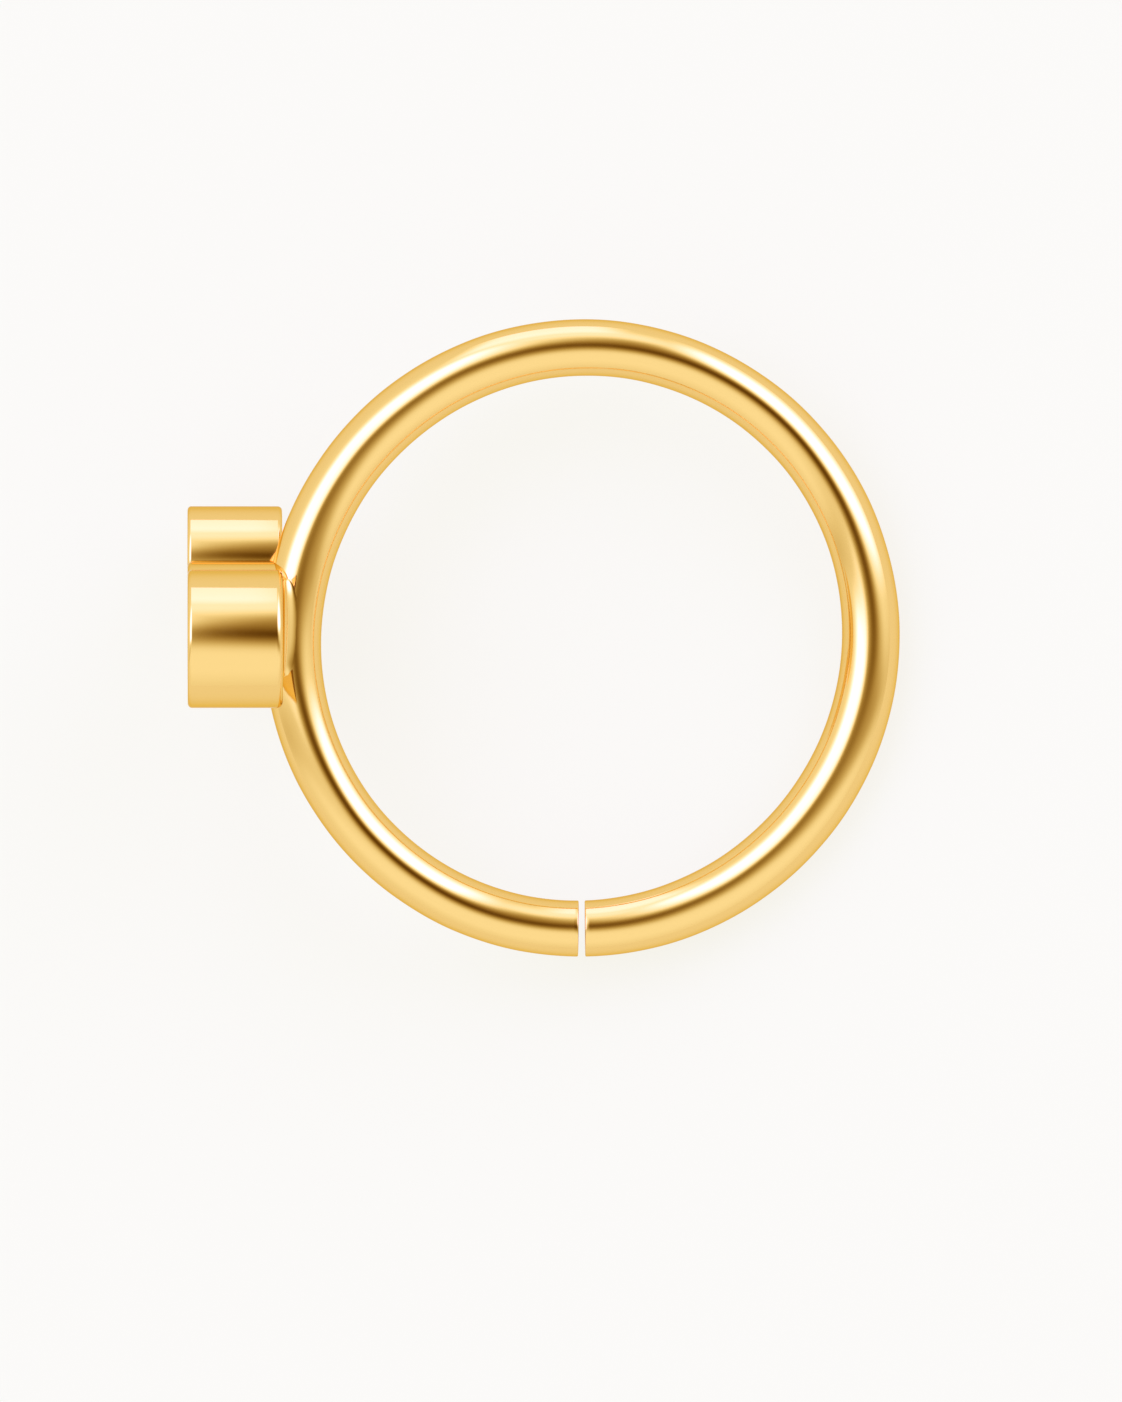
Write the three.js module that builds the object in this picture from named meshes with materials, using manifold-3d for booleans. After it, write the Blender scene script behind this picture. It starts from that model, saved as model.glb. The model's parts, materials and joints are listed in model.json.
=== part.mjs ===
// Rook hoop: a ring of round wire for an ear piercing, which twists open at its
// seam. A graduated trio of stone-set round collets is soldered side by side on
// its outside. Millimetres, +Z up. The ring lies on its side, as it does on a
// table: on the heel of the small collet and the far side of the wire.

import * as THREE from 'three';
import { ConvexGeometry } from 'three/addons/geometries/ConvexGeometry.js';
import { mergeVertices } from 'three/addons/utils/BufferGeometryUtils.js';
import Module from 'manifold-3d';

// ---------------------------------------------------------------------------
// Driving dimensions
// ---------------------------------------------------------------------------

// The ring in its own frame: its axis is Z, the seam is at -Y, and the collets
// point outwards along -X.
const WIRE_DIAMETER = 1.02; // 18 gauge
const INNER_DIAMETER = 9.5; // 3/8 inch
const SEAM_GAP = 0.12; // between the two flat wire ends
const OVAL = 0.04; // how far the hand-bent ring departs from a circle
const OVAL_TURN = 57; // where it is widest, in degrees from +X
const WIRE_SIDES = 16;
const WIRE_STEPS = 72;

// The collets are turned cups with their axes parallel. All three are as long
// and end level with each other. Their heels reach past the outside of the
// wire by SOLDER_DEPTH, which is where the middle one is soldered to it.
const COLLET_LENGTH = 1.72;
const SOLDER_DEPTH = 0.34;
const COLLET_SIDES = 40;
const ROUND_STEPS = 3; // facets across a rounded edge
const SOLDER_OVERLAP = 0.05; // how far soldered neighbours run into each other

// rise: the collet's centre above the ring's centre, along Y.
// side: +1 lies over the ring's upper side, 0 on its plane, -1 under it.
const COLLETS = [
  { size: 'large', diameter: 2.5, stone: 2.0, rise: -0.02, side: 1, rimRound: 0.1, heelRound: 0.14 },
  { size: 'middle', diameter: 2.2, stone: 1.75, rise: 0.28, side: 0, rimRound: 0.1, heelRound: 0.16 },
  { size: 'small', diameter: 1.94, stone: 1.5, rise: 1.43, side: -1, rimRound: 0.07, heelRound: 0.08 },
];

// Round brilliant proportions, as shares of the stone's radius and in degrees.
const TABLE_SHARE = 0.57;
const STAR_SHARE = 0.5; // how far the star facets reach from table to girdle
const LOWER_HALF_SHARE = 0.77; // how far the lower halves reach to the culet
const GIRDLE_SHARE = 0.06;
const CROWN_ANGLE = 34.5;
const PAVILION_ANGLE = 40.75;
const MAIN_FACETS = 8;

// The seat. The table lies just under the collet's rim, and the rim is closed
// in over the edge of the crown.
const TABLE_DEPTH = 0.02;
const SEAT_GAP = 0.03; // clearance all round the stone
const MOUTH_SHARE = 0.86; // mouth radius over stone radius
const LIP_SHARE = 0.9; // where the closed-in lip ends on the crown
const BORE_SHARE = 0.72; // bore below the seat

// How the ring lies: LEAN lifts the collets' side, and ROLL turns it about its
// own X until the centre of mass is over the two places that touch.
const LEAN = 9.95;
const ROLL = 5.05;

const GOLD = new THREE.MeshStandardMaterial({ color: 0xfdd98c, metalness: 1, roughness: 0.12 });
const STONE = new THREE.MeshStandardMaterial({ color: 0xf4f8fb, metalness: 0, roughness: 0.02 });

// ---------------------------------------------------------------------------
// Closed meshes and solids
// ---------------------------------------------------------------------------

const wasm = await Module();
wasm.setup();

// Merges shared corners and drops the slivers that a lathe leaves on its axis.
function closedMesh(geometry) {
  geometry.deleteAttribute('normal');
  geometry.deleteAttribute('uv');
  const merged = mergeVertices(geometry, 1e-5);
  const corners = merged.index.array;
  const kept = [];
  for (let i = 0; i < corners.length; i += 3) {
    const [a, b, c] = corners.slice(i, i + 3);
    if (a !== b && b !== c && c !== a) kept.push(a, b, c);
  }
  merged.setIndex(kept);
  return merged;
}

function solidOf(geometry) {
  const mesh = closedMesh(geometry);
  return new wasm.Manifold(new wasm.Mesh({
    numProp: 3,
    vertProperties: Float32Array.from(mesh.attributes.position.array),
    triVerts: Uint32Array.from(mesh.index.array),
  }));
}

function geometryOf(solid) {
  const { vertProperties, triVerts } = solid.getMesh();
  const geometry = new THREE.BufferGeometry();
  geometry.setAttribute('position', new THREE.BufferAttribute(vertProperties, 3));
  geometry.setIndex(Array.from(triVerts));
  return geometry;
}

const radians = THREE.MathUtils.degToRad;
const tan = (degrees) => Math.tan(radians(degrees));
const cos = (degrees) => Math.cos(radians(degrees));

// ---------------------------------------------------------------------------
// The wire: one round rod bent to a ring, with its two ends at the seam
// ---------------------------------------------------------------------------

const wireRadius = WIRE_DIAMETER / 2;
const ringRadius = INNER_DIAMETER / 2 + wireRadius;

class RingPath extends THREE.Curve {
  getPoint(t, target = new THREE.Vector3()) {
    const halfGap = Math.asin(SEAM_GAP / 2 / ringRadius);
    const turn = halfGap + t * 2 * (Math.PI - halfGap) - Math.PI / 2;
    const radius = ringRadius + OVAL * Math.cos(2 * (turn - radians(OVAL_TURN)));
    return target.set(radius * Math.cos(turn), radius * Math.sin(turn), 0);
  }
}

function makeWire() {
  const section = new THREE.Shape().absarc(0, 0, wireRadius, 0, 2 * Math.PI);
  return new THREE.ExtrudeGeometry(section, {
    extrudePath: new RingPath(),
    steps: WIRE_STEPS,
    curveSegments: WIRE_SIDES / 2,
  });
}

// ---------------------------------------------------------------------------
// Stones: round brilliants, table up along +Y, with the top of the girdle at 0
// ---------------------------------------------------------------------------

function ringOfPoints(count, startDegrees, radius, height) {
  return Array.from({ length: count }, (_, i) => {
    const turn = radians(startDegrees + (360 * i) / count);
    return new THREE.Vector3(radius * Math.cos(turn), height, radius * Math.sin(turn));
  });
}

function brilliant(radius) {
  const half = 180 / MAIN_FACETS;
  const girdle = GIRDLE_SHARE * radius;
  const tableRadius = TABLE_SHARE * radius;
  const tableEdge = tableRadius * cos(half);
  const starRadius = tableEdge + STAR_SHARE * (radius - tableEdge);
  const lowerRadius = (1 - LOWER_HALF_SHARE) * radius;
  return new ConvexGeometry([
    ...ringOfPoints(MAIN_FACETS, 0, tableRadius, (radius - tableRadius) * tan(CROWN_ANGLE)),
    ...ringOfPoints(MAIN_FACETS, half, starRadius, (radius - starRadius * cos(half)) * tan(CROWN_ANGLE)),
    ...ringOfPoints(2 * MAIN_FACETS, 0, radius, 0),
    ...ringOfPoints(2 * MAIN_FACETS, 0, radius, -girdle),
    ...ringOfPoints(MAIN_FACETS, half, lowerRadius,
      -girdle - (radius - lowerRadius * cos(half)) * tan(PAVILION_ANGLE)),
    new THREE.Vector3(0, -girdle - radius * tan(PAVILION_ANGLE), 0),
  ]);
}

// ---------------------------------------------------------------------------
// Collets: round cups with rounded edges and a blind seat, open along +Y
// ---------------------------------------------------------------------------

// How deep the top of the girdle lies under the rim.
function girdleDepth(stoneRadius) {
  return TABLE_DEPTH + (1 - TABLE_SHARE) * stoneRadius * tan(CROWN_ANGLE);
}

// Points of a rounded edge, from startDegrees through a quarter turn.
function roundedEdge(centreX, centreY, radius, startDegrees) {
  return Array.from({ length: ROUND_STEPS + 1 }, (_, i) => {
    const turn = radians(startDegrees + (90 * i) / ROUND_STEPS);
    return new THREE.Vector2(centreX + radius * Math.cos(turn), centreY + radius * Math.sin(turn));
  });
}

function makeCollet({ diameter, stone, rimRound, heelRound }) {
  const outer = diameter / 2;
  const radius = stone / 2;
  const rim = COLLET_LENGTH;
  const girdle = rim - girdleDepth(radius);
  const crownGap = SEAT_GAP / cos(CROWN_ANGLE);
  const pavilionGap = SEAT_GAP / cos(PAVILION_ANGLE);
  const overCrown = (r) => girdle + crownGap + (radius - r) * tan(CROWN_ANGLE);
  const girdleUnderside = girdle - GIRDLE_SHARE * radius;
  const underPavilion = (r) => girdleUnderside - pavilionGap - (radius - r) * tan(PAVILION_ANGLE);
  const bore = BORE_SHARE * radius;
  const floor = underPavilion(0);
  return new THREE.LatheGeometry([
    new THREE.Vector2(0, 0),
    ...roundedEdge(outer - heelRound, heelRound, heelRound, -90),
    ...roundedEdge(outer - rimRound, rim - rimRound, rimRound, 0),
    new THREE.Vector2(MOUTH_SHARE * radius, rim),
    new THREE.Vector2(LIP_SHARE * radius, overCrown(LIP_SHARE * radius)),
    new THREE.Vector2(radius + SEAT_GAP, overCrown(radius + SEAT_GAP)),
    new THREE.Vector2(radius + SEAT_GAP, underPavilion(radius + SEAT_GAP)),
    new THREE.Vector2(bore, underPavilion(bore)),
    new THREE.Vector2(bore, floor),
    new THREE.Vector2(0, floor),
  ], COLLET_SIDES);
}

// ---------------------------------------------------------------------------
// Placing: the collets stand side by side along the ring's axis, each soldered
// to the middle one, and all of them point along -X
// ---------------------------------------------------------------------------

const middle = COLLETS.find(({ side }) => side === 0);
const heel = -(INNER_DIAMETER / 2 + WIRE_DIAMETER - SOLDER_DEPTH);

function colletPlace({ diameter, rise, side }) {
  const apart = (diameter + middle.diameter) / 2 - SOLDER_OVERLAP;
  const across = side * Math.sqrt(Math.max(0, apart ** 2 - (rise - middle.rise) ** 2));
  return new THREE.Matrix4()
    .makeTranslation(heel, rise, across)
    .multiply(new THREE.Matrix4().makeRotationZ(Math.PI / 2));
}

function stonePlace(collet) {
  const girdle = COLLET_LENGTH - girdleDepth(collet.stone / 2);
  return colletPlace(collet).multiply(new THREE.Matrix4().makeTranslation(0, girdle, 0));
}

// The wire and the collets are soldered, so they are one solid.
function makeHoop() {
  let metal = solidOf(makeWire());
  for (const collet of COLLETS) {
    metal = metal.add(solidOf(makeCollet(collet).applyMatrix4(colletPlace(collet))));
  }
  const hoop = new THREE.Mesh(geometryOf(metal), GOLD);
  hoop.name = 'hoop';
  return hoop;
}

function makeStone(collet) {
  const stone = new THREE.Mesh(closedMesh(brilliant(collet.stone / 2)), STONE);
  stone.name = `stone_${collet.size}`;
  stone.applyMatrix4(stonePlace(collet));
  return stone;
}

const ring = new THREE.Group();
ring.add(makeHoop(), ...COLLETS.map(makeStone));
ring.rotation.set(radians(ROLL), radians(LEAN), 0);

// The origin is under the middle of the ring's box, on the surface it lies on.
const rookHoop = new THREE.Group();
rookHoop.add(ring);
rookHoop.updateMatrixWorld(true);
const box = new THREE.Box3().setFromObject(rookHoop, true);
const centre = box.getCenter(new THREE.Vector3());
ring.position.set(-centre.x, -centre.y, -box.min.z);

export default rookHoop;
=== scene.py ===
# A rook hoop: a gold wire ring that twists open at its seam, with a graduated trio of stone-set
# collets soldered side by side on its outside. It lies on its side on a white sheet.
import json
import math

import bpy
from mathutils import Matrix, Vector, noise


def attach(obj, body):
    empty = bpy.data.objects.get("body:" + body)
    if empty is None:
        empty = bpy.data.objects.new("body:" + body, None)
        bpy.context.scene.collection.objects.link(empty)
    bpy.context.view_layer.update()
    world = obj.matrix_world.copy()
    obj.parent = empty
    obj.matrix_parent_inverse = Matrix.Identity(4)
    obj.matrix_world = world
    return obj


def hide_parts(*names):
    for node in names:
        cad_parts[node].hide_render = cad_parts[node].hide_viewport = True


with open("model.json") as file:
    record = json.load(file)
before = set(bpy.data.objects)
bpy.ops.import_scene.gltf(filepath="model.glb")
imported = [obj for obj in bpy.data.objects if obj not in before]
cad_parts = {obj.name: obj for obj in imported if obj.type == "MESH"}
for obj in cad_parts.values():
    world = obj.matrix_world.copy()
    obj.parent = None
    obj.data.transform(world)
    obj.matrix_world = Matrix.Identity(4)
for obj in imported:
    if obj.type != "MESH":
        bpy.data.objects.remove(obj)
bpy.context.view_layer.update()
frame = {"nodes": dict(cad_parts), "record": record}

# ---------------------------------------------------------------------------------------------
# How the ring lies. A jeweller makes it flat on the bench, and so it is modelled here, in
# millimetres: its axis is Z, its seam is at -Y and the collets point outwards along -X. Let go, it
# leans on the heel of the small collet and on the far side of the wire.
# ---------------------------------------------------------------------------------------------
MM = 0.001
MERGE_WITHIN = 0.0005
LEAN = math.radians(9.95)
ROLL = math.radians(5.05)

WIRE_DIAMETER = 1.02
INNER_DIAMETER = 9.5
SOLDER_DEPTH = 0.34
LARGE_RISE = -0.02
LARGE_ACROSS = 2.28

wire_radius = WIRE_DIAMETER / 2
inner_radius = INNER_DIAMETER / 2
ring_radius = inner_radius + wire_radius
heel_x = -(inner_radius + 2 * wire_radius - SOLDER_DEPTH)
large_collet_back = Vector((heel_x, LARGE_RISE, LARGE_ACROSS))

lying = Matrix.Rotation(ROLL, 4, "X") @ Matrix.Rotation(LEAN, 4, "Y")
back_mount = next(m for m in frame["record"]["mounts"] if m["name"] == "collet_back")
ring_centre = Vector(back_mount["pos_m"]) - MM * (lying @ large_collet_back)
bench_to_sheet = Matrix.Translation(ring_centre) @ lying @ Matrix.Scale(MM, 4)


def lay_down(piece):
    """Takes a piece from the bench, in millimetres, to where it lies on the sheet, in metres."""
    piece.data.transform(bench_to_sheet @ piece.matrix_world)
    piece.matrix_world = Matrix.Identity(4)


def open_with(piece, kind, chosen):
    """Opens a piece for editing with only the chosen faces or edges selected."""
    bpy.ops.object.mode_set(mode="EDIT")
    bpy.ops.mesh.select_mode(type=kind)
    bpy.ops.mesh.select_all(action="DESELECT")
    bpy.ops.object.mode_set(mode="OBJECT")
    for part in piece.data.polygons if kind == "FACE" else piece.data.edges:
        part.select = chosen(part)
    bpy.ops.object.mode_set(mode="EDIT")


def finish_edit():
    """Merges doubled corners, turns every face outwards and leaves edit mode."""
    bpy.ops.mesh.select_all(action="SELECT")
    bpy.ops.mesh.remove_doubles(threshold=MERGE_WITHIN)
    bpy.ops.mesh.normals_make_consistent(inside=False)
    bpy.ops.object.mode_set(mode="OBJECT")


# ---------------------------------------------------------------------------------------------
# The wire: round 18 gauge rod in 14-carat gold, bent round a mandrel by hand. Its two ends are
# sawn square, touched with a file and left a hair apart.
# ---------------------------------------------------------------------------------------------
SEAM_GAP = 0.12
WIRE_SIDES = 96
WIRE_STEPS = 360
FILED_EDGE = 0.02
OVAL = 0.036
OVAL_TURN = math.radians(54)
SQUEEZE = 0.035
WIDER_THAN_ROUND = 1.016
HAMMER_WAVE = 0.006
HAMMER_SPACING = 1.1
# How far the section leans, as a share of its width, and over what length of wire that changes.
TWIST = 0.1
TWIST_SPACING = 5.0

half_gap = math.asin(SEAM_GAP / 2 / ring_radius)
bpy.ops.object.select_all(action="DESELECT")
bpy.ops.mesh.primitive_circle_add(
    vertices=WIRE_SIDES,
    radius=wire_radius,
    fill_type="NGON",
    location=(ring_radius * math.sin(half_gap), -ring_radius * math.cos(half_gap), 0),
    rotation=(0, math.pi / 2, half_gap),
)
wire = bpy.context.object
wire.name = "gold_ring"
bpy.ops.object.transform_apply(location=True, rotation=True, scale=True)
bpy.ops.object.mode_set(mode="EDIT")
bpy.ops.mesh.select_all(action="SELECT")
bpy.ops.mesh.spin(
    steps=WIRE_STEPS, angle=-2 * (math.pi - half_gap), center=(0, 0, 0), axis=(0, 0, 1)
)
finish_edit()
open_with(wire, "FACE", lambda face: len(face.vertices) > 4)
bpy.ops.mesh.region_to_loop()
bpy.ops.mesh.bevel(offset=FILED_EDGE, segments=4, affect="EDGES")
finish_edit()


def hand_bend(point):
    """Bends the ring a little wider one way, which squeezes the wire there, and twists it slightly."""
    turn = math.atan2(point.y, point.x)
    outwards = Vector((math.cos(turn), math.sin(turn), 0))
    wider = math.cos(2 * (turn - OVAL_TURN))
    across = (point.xy.length - ring_radius) * (WIDER_THAN_ROUND - SQUEEZE * wider)
    wave = HAMMER_WAVE * noise.noise(point / HAMMER_SPACING)
    lean = TWIST * noise.noise(outwards * ring_radius / TWIST_SPACING)
    return outwards * (ring_radius + OVAL * wider + across + wave) + Vector(
        (0, 0, point.z + lean * across)
    )


for corner in wire.data.vertices:
    corner.co = hand_bend(corner.co)

# ---------------------------------------------------------------------------------------------
# The collets: cups turned from thick gold tube, with a seat cut for the stone and the rim closed
# in over its edge. The middle one is soldered to the wire, and the other two to its sides. Solder
# has run into the grooves between them, and up from the wire onto the middle one's heel.
# ---------------------------------------------------------------------------------------------
COLLET_LENGTH = 1.72
COLLET_SIDES = 128
SOLDER_OVERLAP = 0.05
TABLE_DEPTH = 0.02
SEAT_GAP = 0.03
CROWN_SLOPE = math.tan(math.radians(34.5))
PAVILION_SLOPE = math.tan(math.radians(40.75))
TABLE_SHARE = 0.57
GIRDLE_SHARE = 0.06
MOUTH_SHARE = 0.86
LIP_SHARE = 0.9
BORE_SHARE = 0.72
MOUTH_ROUND = 0.03
LARGE_DIAMETER = 2.5
MIDDLE_DIAMETER = 2.2
MIDDLE_RISE = 0.28
SMALL_DIAMETER = 1.94
SMALL_RISE = 1.43


def round_over(piece, radius, height, rounding, segments):
    """Rounds the edge that runs round a collet at one radius and height."""
    on_edge = [
        abs(corner.co.xy.length - radius) < 1e-4 and abs(corner.co.z - height) < 1e-4
        for corner in piece.data.vertices
    ]
    open_with(piece, "EDGE", lambda edge: all(on_edge[end] for end in edge.vertices))
    bpy.ops.mesh.bevel(offset=rounding, segments=segments, affect="EDGES")
    bpy.ops.object.mode_set(mode="OBJECT")


def turn_collet(name, diameter, stone_diameter, rim_round, heel_round):
    """Turns one collet on Z, with its heel at 0 and its rim and seat at the top."""
    outer = diameter / 2
    stone = stone_diameter / 2
    girdle = COLLET_LENGTH - TABLE_DEPTH - (1 - TABLE_SHARE) * stone * CROWN_SLOPE
    crown_gap = SEAT_GAP * math.hypot(1, CROWN_SLOPE)
    pavilion_gap = SEAT_GAP * math.hypot(1, PAVILION_SLOPE)

    def over_crown(radius):
        return girdle + crown_gap + (stone - radius) * CROWN_SLOPE

    def under_pavilion(radius):
        return girdle - GIRDLE_SHARE * stone - pavilion_gap - (stone - radius) * PAVILION_SLOPE

    mouth = MOUTH_SHARE * stone
    lip = LIP_SHARE * stone
    seat = stone + SEAT_GAP
    bore = BORE_SHARE * stone
    bpy.ops.object.select_all(action="DESELECT")
    bpy.ops.mesh.primitive_cylinder_add(
        vertices=COLLET_SIDES,
        radius=outer,
        depth=COLLET_LENGTH,
        end_fill_type="NGON",
        location=(0, 0, COLLET_LENGTH / 2),
    )
    collet = bpy.context.object
    collet.name = name
    bpy.ops.object.transform_apply(location=True, rotation=True, scale=True)
    open_with(collet, "FACE", lambda face: face.center.z > COLLET_LENGTH - 1e-4)
    bpy.ops.mesh.inset(thickness=(outer - mouth) * math.cos(math.pi / COLLET_SIDES))
    radius_now = mouth
    height_now = COLLET_LENGTH
    for radius, height in [
        (lip, over_crown(lip)),
        (seat, over_crown(seat)),
        (seat, under_pavilion(seat)),
        (bore, under_pavilion(bore)),
        (bore, under_pavilion(0)),
    ]:
        bpy.ops.mesh.extrude_region_move(
            TRANSFORM_OT_translate={"value": (0, 0, height - height_now)}
        )
        share = radius / radius_now
        bpy.ops.transform.resize(value=(share, share, 1), center_override=(0, 0, height))
        radius_now = radius
        height_now = height
    bpy.ops.object.mode_set(mode="OBJECT")
    round_over(collet, outer, COLLET_LENGTH, rim_round, 8)
    round_over(collet, outer, 0, heel_round, 8)
    round_over(collet, mouth, COLLET_LENGTH, MOUTH_ROUND, 3)
    return collet


def solder_place(diameter, rise, side):
    """Where a collet stands against the middle one, pointing outwards along -X."""
    apart = (diameter + MIDDLE_DIAMETER) / 2 - SOLDER_OVERLAP
    across = side * math.sqrt(max(0, apart**2 - (rise - MIDDLE_RISE) ** 2))
    return Matrix.Translation((heel_x, rise, across)) @ Matrix.Rotation(-math.pi / 2, 4, "Y")


middle_collet = turn_collet(
    "middle_collet", MIDDLE_DIAMETER, stone_diameter=1.75, rim_round=0.08, heel_round=0.14
)
middle_place = solder_place(MIDDLE_DIAMETER, MIDDLE_RISE, 0)
middle_collet.matrix_world = middle_place
large_collet = turn_collet(
    "large_collet", LARGE_DIAMETER, stone_diameter=2.0, rim_round=0.08, heel_round=0.11
)
large_collet.matrix_world = solder_place(LARGE_DIAMETER, LARGE_RISE, 1)
small_collet = turn_collet(
    "small_collet", SMALL_DIAMETER, stone_diameter=1.5, rim_round=0.07, heel_round=0.08
)
small_collet.matrix_world = solder_place(SMALL_DIAMETER, SMALL_RISE, -1)


def combine(piece, operation, tool):
    """Joins a tool to a piece or cuts it out of the piece, and drops the tool."""
    bpy.ops.object.select_all(action="DESELECT")
    bpy.context.view_layer.objects.active = piece
    step = piece.modifiers.new("step", "BOOLEAN")
    step.operation = operation
    step.solver = "EXACT"
    step.object = tool
    bpy.ops.object.modifier_apply(modifier=step.name)
    bpy.data.objects.remove(tool)


# The solder in a groove: the radius of its hollow face, how much shorter than the collets it is,
# and how much wider than the gap that it fills.
HOLLOW = 0.12
HOLLOW_SIDES = 64
GROOVE_ENDS = 0.3
GROOVE_OVERLAP = 0.016


def run_solder(diameter, rise, side):
    """The solder that has run into the groove between a collet and the middle one."""
    place = solder_place(diameter, rise, side).translation - middle_place.translation
    apart = place.length
    turn = math.atan2(place.z, place.y)
    near = MIDDLE_DIAMETER / 2
    far = diameter / 2
    hollow_at = ((near + HOLLOW) ** 2 - (far + HOLLOW) ** 2 + apart**2) / (2 * apart)
    hollow_out = math.sqrt((near + HOLLOW) ** 2 - hollow_at**2)
    near_edge = hollow_at * near / (near + HOLLOW)
    far_edge = apart - (apart - hollow_at) * far / (far + HOLLOW)
    reach = min(near / (near + HOLLOW), far / (far + HOLLOW)) * hollow_out
    bpy.ops.object.select_all(action="DESELECT")
    bpy.ops.mesh.primitive_cube_add(size=1, location=(0, (near_edge + far_edge) / 2, 0))
    solder = bpy.context.object
    solder.scale = (COLLET_LENGTH - GROOVE_ENDS, far_edge - near_edge + GROOVE_OVERLAP, 2 * reach)
    bpy.ops.object.transform_apply(location=True, rotation=True, scale=True)
    for out in (-hollow_out, hollow_out):
        bpy.ops.mesh.primitive_cylinder_add(
            vertices=HOLLOW_SIDES,
            radius=HOLLOW,
            depth=2 * COLLET_LENGTH,
            location=(0, hollow_at, out),
            rotation=(0, math.pi / 2, 0),
        )
        combine(solder, "DIFFERENCE", bpy.context.object)
    solder.matrix_world = (
        Matrix.Translation(middle_place.translation - Vector((COLLET_LENGTH / 2, 0, 0)))
        @ Matrix.Rotation(turn, 4, "X")
    )
    return solder


# The solder's foot between the wire and the middle collet's heel: the radius of its hollow face,
# where its middle is along Y and how far it reaches from there, how deep in the heel and how far
# off the ring's plane its root is, and how far its edges dip into the wire and the heel.
FOOT_HOLLOW = 0.3
FOOT_RISE = 0.2
FOOT_REACH = 0.92
FOOT_ROOT = 0.14
FOOT_STEPS = 40
FOOT_SIDES = 48
FOOT_DEPTH = 0.2
FOOT_SINK = 0.001
HEEL_SINK = 0.01


def foot_skin(spot):
    """Where a spot on a drum, 1 in radius and from -1 to 1 along Y, lies on the solder's skin."""
    hollow = FOOT_HOLLOW * math.sqrt(max(0, 1 - spot.y**2)) + HEEL_SINK
    middle = Vector((heel_x - HEEL_SINK + hollow, FOOT_RISE + FOOT_REACH * spot.y, 0))
    wire_middle = middle.normalized() * ring_radius
    reach = wire_radius - FOOT_SINK + hollow
    middle.z = math.sqrt(reach**2 - (middle - wire_middle).length_squared)
    to_wire = (wire_middle - middle).normalized()
    turn = math.atan2(spot.z, spot.x) / math.pi
    if turn > -1e-6:
        return middle + hollow * to_wire.slerp(Vector((-1, 0, 0)), max(0, turn))
    in_heel = Vector((heel_x - FOOT_ROOT, middle.y, middle.z))
    in_corner = Vector((heel_x - FOOT_ROOT, middle.y, FOOT_DEPTH))
    in_wire = (middle + hollow * to_wire).xy.to_3d() + Vector((0, 0, FOOT_DEPTH))
    if turn < -0.5:
        return in_heel.lerp(in_corner, 2 * (turn + 1))
    return in_corner.lerp(in_wire, 2 * turn + 1)


def run_solder_foot(side):
    """The solder between the wire and the middle collet's heel, on one side of the ring."""
    bpy.ops.object.select_all(action="DESELECT")
    bpy.ops.mesh.primitive_circle_add(
        vertices=FOOT_SIDES,
        radius=1,
        fill_type="NGON",
        location=(0, -1, 0),
        rotation=(math.pi / 2, 0, 0),
    )
    solder = bpy.context.object
    bpy.ops.object.transform_apply(location=True, rotation=True, scale=True)
    bpy.ops.object.mode_set(mode="EDIT")
    bpy.ops.mesh.select_all(action="SELECT")
    for _ in range(FOOT_STEPS):
        bpy.ops.mesh.extrude_region_move(
            TRANSFORM_OT_translate={"value": (0, 2 / FOOT_STEPS, 0)}
        )
    bpy.ops.object.mode_set(mode="OBJECT")
    for corner in solder.data.vertices:
        corner.co = foot_skin(corner.co)
        corner.co.z *= side
        corner.co = hand_bend(corner.co)
    bpy.ops.object.mode_set(mode="EDIT")
    finish_edit()
    return solder


for collet in (middle_collet, large_collet, small_collet):
    combine(wire, "UNION", collet)
for side in (1, -1):
    combine(wire, "UNION", run_solder_foot(side))
combine(wire, "UNION", run_solder(LARGE_DIAMETER, LARGE_RISE, 1))
combine(wire, "UNION", run_solder(SMALL_DIAMETER, SMALL_RISE, -1))

SHARP_FROM = math.radians(32)

lay_down(wire)
bpy.ops.object.select_all(action="DESELECT")
wire.select_set(True)
bpy.context.view_layer.objects.active = wire
bpy.ops.object.shade_smooth_by_angle(angle=SHARP_FROM)
flats = wire.modifiers.new("flats", "WEIGHTED_NORMAL")
flats.keep_sharp = True
bpy.ops.object.modifier_apply(modifier=flats.name)

# The gold's finish: drawn and turned 14-carat yellow gold, tumbled and buffed to a mirror. It shows
# what is round it in warm yellow, a little softer where the buffing was lighter.
BUFFING_SPOTS = 0.7 * MM
GOLD_COLOUR = "fdd98c"
GOLD_EDGE_COLOUR = "ebcf90"


def colour(hex_code):
    """An sRGB hex colour as the linear values that the shaders use."""
    shares = [int(hex_code[i : i + 2], 16) / 255 for i in (0, 2, 4)]
    return [s / 12.92 if s <= 0.04045 else ((s + 0.055) / 1.055) ** 2.4 for s in shares] + [1]


def add_node(tree, kind, settings=None, **links):
    """Adds a node, sets its settings, and links or sets each named input."""
    node = tree.nodes.new(kind)
    for name, value in (settings or {}).items():
        setattr(node, name, value)
    for name, value in links.items():
        key = name.replace("_", " ")
        socket = node.inputs[int(key[3:])] if key.startswith("in ") else node.inputs[key]
        if isinstance(value, bpy.types.NodeSocket):
            tree.links.new(value, socket)
        else:
            socket.default_value = value
    return node


def new_material(name):
    """An empty material with its output, and the tree to build in."""
    material = bpy.data.materials.new(name)
    material.use_nodes = True
    tree = material.node_tree
    tree.nodes.clear()
    return material, tree, tree.nodes.new("ShaderNodeOutputMaterial")


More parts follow.
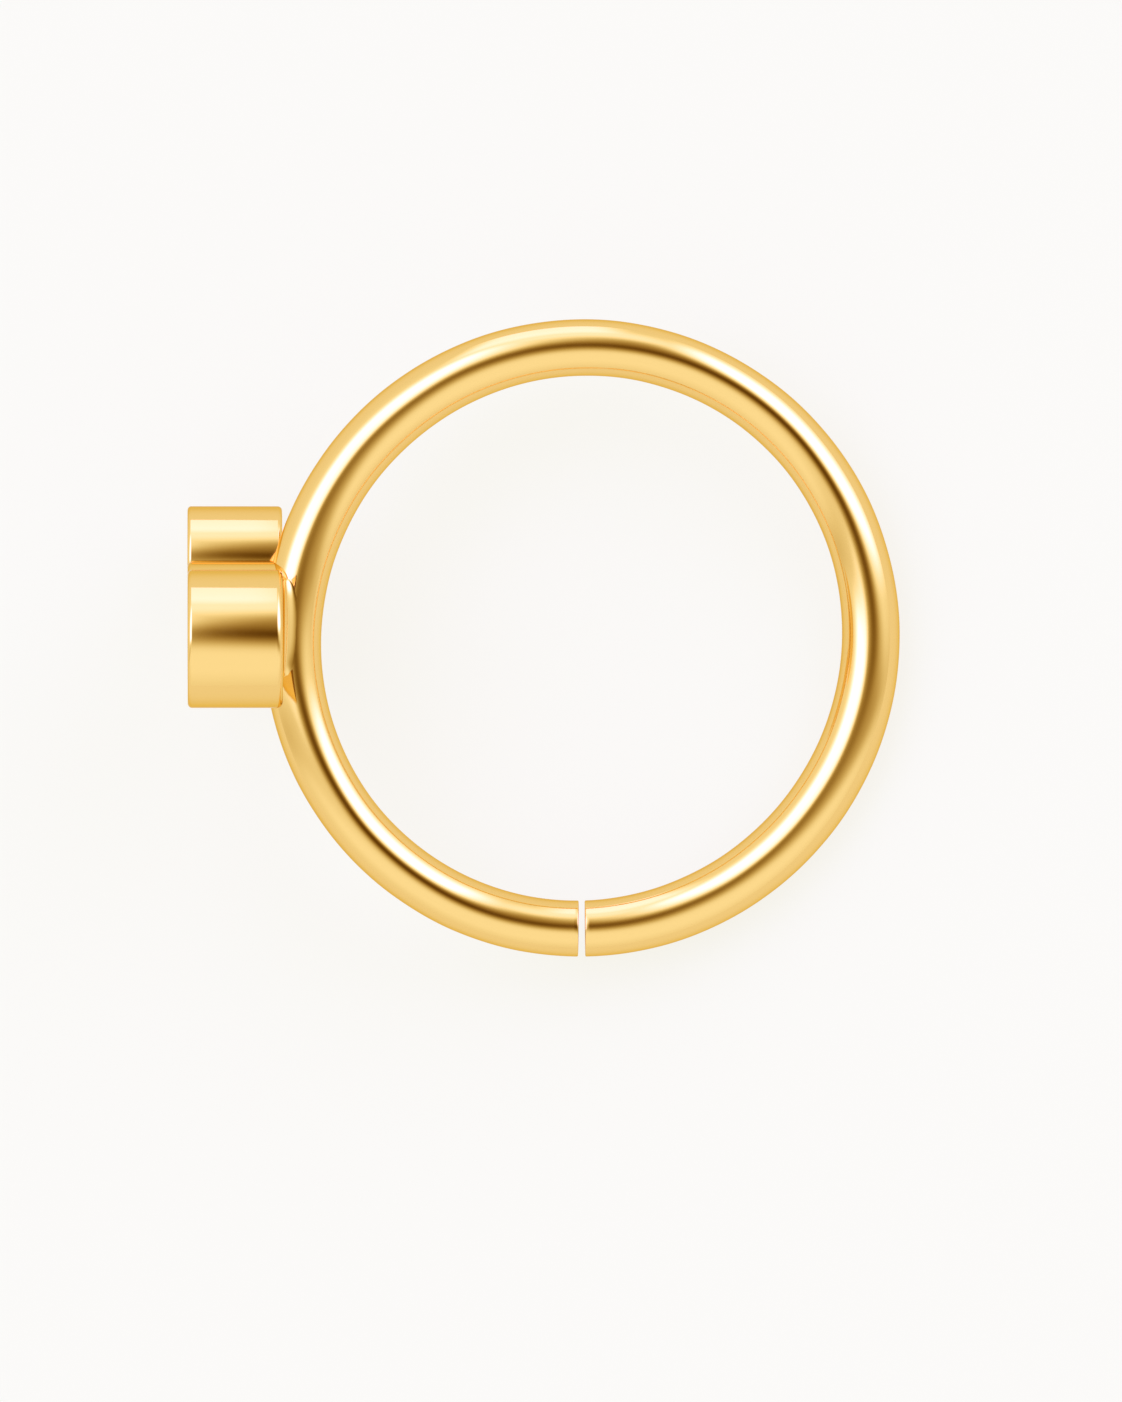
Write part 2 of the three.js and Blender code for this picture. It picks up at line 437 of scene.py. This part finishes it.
def polished_gold():
    material, tree, output = new_material("polished_14_carat_gold")
    place = add_node(tree, "ShaderNodeTexCoord").outputs["Object"]
    buffing = add_node(
        tree, "ShaderNodeTexNoise", Vector=place, Scale=1 / BUFFING_SPOTS, Detail=3.0, Roughness=0.6
    )
    roughness = add_node(
        tree,
        "ShaderNodeMapRange",
        Value=buffing.outputs["Fac"],
        From_Min=0.3,
        From_Max=0.7,
        To_Min=0.06,
        To_Max=0.1,
    )
    gold = add_node(
        tree,
        "ShaderNodeBsdfPrincipled",
        Base_Color=colour(GOLD_COLOUR),
        Metallic=1.0,
        Roughness=roughness.outputs["Result"],
    )
    gold.inputs["Specular Tint"].default_value = colour(GOLD_EDGE_COLOUR)
    tree.links.new(gold.outputs["BSDF"], output.inputs["Surface"])
    return material


wire.data.materials.clear()
wire.data.materials.append(polished_gold())
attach(wire, "root")
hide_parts("hoop")

# ---------------------------------------------------------------------------------------------
# The stones: clear round brilliants, cut and polished with flat facets, set with the table just
# under the collet's rim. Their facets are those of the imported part.
# ---------------------------------------------------------------------------------------------
STONE_IOR = 2.17
STONE_COLOUR = "fcfdff"


def clear_stone():
    material, tree, output = new_material("clear_cut_stone")
    stone = add_node(
        tree,
        "ShaderNodeBsdfPrincipled",
        Base_Color=colour(STONE_COLOUR),
        Roughness=0.0,
        IOR=STONE_IOR,
    )
    stone.inputs["Transmission Weight"].default_value = 1.0
    tree.links.new(stone.outputs["BSDF"], output.inputs["Surface"])
    return material


stone_finish = clear_stone()
for size in ("large", "middle", "small"):
    node = frame["nodes"][f"stone_{size}"]
    node.data.materials.clear()
    node.data.materials.append(stone_finish)

# ---------------------------------------------------------------------------------------------
# The sheet that the ring lies on: opal acrylic over a light panel, so that shadows stay faint.
# ---------------------------------------------------------------------------------------------
SHEET_SIZE = 4.0
ACRYLIC_COLOUR = "70735f"
GLOW_COLOUR = "e6e5e3"
SIDEWAYS_GLOW_COLOUR = "dcd6c9"


def lit_opal_acrylic():
    material, tree, output = new_material("opal_acrylic_sheet")
    # Seen along the sheet by the gold, the panel's glow is weaker and warmer than from above. The
    # lens sees it evenly white.
    sideways = add_node(tree, "ShaderNodeLayerWeight", Blend=0.5).outputs["Facing"]
    warmth = add_node(tree, "ShaderNodeMapRange", Value=sideways, From_Min=0.02, From_Max=0.3)
    not_lens = add_node(
        tree,
        "ShaderNodeMath",
        {"operation": "SUBTRACT"},
        in_0=1.0,
        in_1=add_node(tree, "ShaderNodeLightPath").outputs["Is Camera Ray"],
    )
    glow = add_node(
        tree,
        "ShaderNodeMixRGB",
        Fac=add_node(
            tree,
            "ShaderNodeMath",
            {"operation": "MULTIPLY"},
            in_0=warmth.outputs["Result"],
            in_1=not_lens.outputs["Value"],
        ).outputs["Value"],
        Color1=colour(GLOW_COLOUR),
        Color2=colour(SIDEWAYS_GLOW_COLOUR),
    )
    sheet = add_node(
        tree,
        "ShaderNodeBsdfPrincipled",
        Base_Color=colour(ACRYLIC_COLOUR),
        Roughness=0.5,
        Emission_Color=glow.outputs["Color"],
        Emission_Strength=1.0,
    )
    sheet.inputs["Specular IOR Level"].default_value = 0.0
    tree.links.new(sheet.outputs["BSDF"], output.inputs["Surface"])
    return material


bpy.ops.object.select_all(action="DESELECT")
bpy.ops.mesh.primitive_plane_add(size=SHEET_SIZE, location=(0, 0, 0))
sheet = bpy.context.object
sheet.name = "sheet"
sheet.data.materials.append(lit_opal_acrylic())

# ---------------------------------------------------------------------------------------------
# The camera: a long lens that looks straight down the ring's axis from far off, so that the near
# and the far collets show at one scale.
# ---------------------------------------------------------------------------------------------
LENS = 1000
SENSOR = 36
VIEW_HEIGHT = 25.44 * MM
AIM = Vector((-0.374, -1.143, 0))
TOWARDS_COLLETS = math.radians(0.6)

distance = VIEW_HEIGHT * LENS / SENSOR
lens = bpy.data.cameras.new("long_lens")
lens.lens = LENS
lens.sensor_width = SENSOR
lens.clip_start = 0.01
lens.clip_end = 10
camera = bpy.data.objects.new("long_lens", lens)
bpy.context.scene.collection.objects.link(camera)
camera.matrix_world = (
    Matrix.Translation(ring_centre)
    @ lying
    @ Matrix.Translation(AIM * MM)
    @ Matrix.Rotation(-TOWARDS_COLLETS, 4, "Y")
    @ Matrix.Translation((0, 0, distance))
)
bpy.context.scene.camera = camera

# ---------------------------------------------------------------------------------------------
# The light: a pale tent round the ring, with a softbox to the left of the lens and a larger one
# to its right, and the dark gap in the tent that the lens looks through.
# ---------------------------------------------------------------------------------------------
world = bpy.data.worlds.new("light_tent")
bpy.context.scene.world = world
world.use_nodes = True
tent = world.node_tree
tent.nodes.clear()
tent_output = tent.nodes.new("ShaderNodeOutputWorld")
towards = add_node(tent, "ShaderNodeTexCoord").outputs["Generated"]


def calculate(operation, *values):
    """One sum on numbers or sockets."""
    inputs = {f"in_{i}": value for i, value in enumerate(values)}
    return add_node(tent, "ShaderNodeMath", {"operation": operation}, **inputs).outputs[0]


def product(*values):
    result = values[0]
    for value in values[1:]:
        result = calculate("MULTIPLY", result, value)
    return result


def largest(*values):
    result = values[0]
    for value in values[1:]:
        result = calculate("MAXIMUM", result, value)
    return result


def fade(value, start, end):
    """0 before start and 1 after end, smoothly, or the other way round."""
    return add_node(
        tent,
        "ShaderNodeMapRange",
        {"interpolation_type": "SMOOTHSTEP"},
        Value=value,
        From_Min=start,
        From_Max=end,
        To_Min=0.0,
        To_Max=1.0,
    ).outputs["Result"]


def share_along(direction):
    dot = add_node(
        tent, "ShaderNodeVectorMath", {"operation": "DOT_PRODUCT"}, in_0=towards, in_1=direction
    )
    return dot.outputs["Value"]


# Places in the tent are given as they are seen from the ring: degrees away from the lens, split
# into a part to the right of it and a part up from it.
to_right = share_along((lying @ Vector((1, 0, 0)))[:])
to_top = share_along((lying @ Vector((0, 1, 0)))[:])
to_lens = share_along((lying @ Vector((0, 0, 1)))[:])
off_lens = calculate("MULTIPLY", calculate("ARCCOSINE", to_lens), math.degrees(1))
off_axis = calculate("SQRT", calculate("ADD", product(to_right, to_right), product(to_top, to_top)))
per_share = calculate("DIVIDE", off_lens, calculate("MAXIMUM", off_axis, 0.0001))
right = product(to_right, per_share)
up = product(to_top, per_share)


def along(turn, centre_right=0, centre_up=0):
    """How far a place is from a centre, measured towards one side."""
    turn = math.radians(turn)
    return calculate(
        "ADD",
        product(calculate("SUBTRACT", right, centre_right), math.cos(turn)),
        product(calculate("SUBTRACT", up, centre_up), math.sin(turn)),
    )


def past_edge(turn, at, softness):
    """1 beyond a straight, soft edge of a softbox."""
    return fade(along(turn), at - softness, at + softness)


def gap_light(centre_right, centre_up, half_long, half_short, turn, depth):
    """What a dark gap in the tent leaves of its light."""
    long_way = product(along(turn, centre_right, centre_up), 1 / half_long)
    short_way = product(along(turn + 90, centre_right, centre_up), 1 / half_short)
    squared = calculate("ADD", product(long_way, long_way), product(short_way, short_way))
    return calculate("SUBTRACT", 1.0, product(calculate("EXPONENT", product(squared, -1.0)), depth))


# The tent itself, and its gaps: one for the lens, a long one to its right where the tent's two
# halves meet, a slit above it between the softboxes, and the dim corners to its left and right.
lens_gap = gap_light(8, 7, 26, 16, -20, 0.86)
seam_gap = gap_light(40, -10, 32, 10, -8, 0.42)
slit = gap_light(6, 26, 18, 9, 80, 0.5)
left_corner = gap_light(-60, -20, 50, 9, 16, 0.22)
right_corner = gap_light(98, -5, 30, 10, 0, 0.15)
dim_sides = calculate("SUBTRACT", 1.0, product(fade(off_lens, 50, 95), 0.11))
cloth = product(lens_gap, seam_gap, slit, left_corner, right_corner, dim_sides)
left_box = product(
    past_edge(94, -2, 6), past_edge(155, 12, 9), past_edge(190, 4, 8), fade(off_lens, 72, 46)
)
right_box = product(
    past_edge(-16, 4, 8), past_edge(98, 6, 8), past_edge(38, 28, 12), fade(off_lens, 98, 58)
)
between_boxes = product(
    fade(up, 34, 54), fade(off_lens, 88, 62), past_edge(180, -20, 16), past_edge(0, -24, 10), 0.3
)
top_strip = product(
    fade(up, 46, 72), fade(calculate("ABSOLUTE", calculate("ADD", right, 10)), 26, 12), 0.6
)
boxes = largest(left_box, right_box, between_boxes, top_strip)
# The dim parts of the cloth look warm, and the brightest parts are as cool as the flash tubes: each
# colour follows the brightness by a power of its own.
BOX_POWER = 0.9
DIM_GREEN = 1.35
BRIGHT_GREEN = 0.8
BLUE = 2.3

brightness = calculate("ADD", cloth, product(boxes, BOX_POWER))
light = add_node(
    tent,
    "ShaderNodeCombineXYZ",
    X=brightness,
    Y=calculate(
        "MINIMUM",
        calculate("POWER", brightness, DIM_GREEN),
        calculate("POWER", brightness, BRIGHT_GREEN),
    ),
    Z=calculate("POWER", brightness, BLUE),
)
# The lens itself sees only a plain backdrop past the sheet, in the sheet's own tone.
BACKDROP_COLOUR = "fbfaf8"

seen = add_node(
    tent,
    "ShaderNodeMixRGB",
    Fac=add_node(tent, "ShaderNodeLightPath").outputs["Is Camera Ray"],
    Color1=light.outputs["Vector"],
    Color2=colour(BACKDROP_COLOUR),
)
background = add_node(tent, "ShaderNodeBackground", Color=seen.outputs["Color"], Strength=1.0)
tent.links.new(background.outputs["Background"], tent_output.inputs["Surface"])

bpy.context.scene.view_settings.view_transform = "Standard"
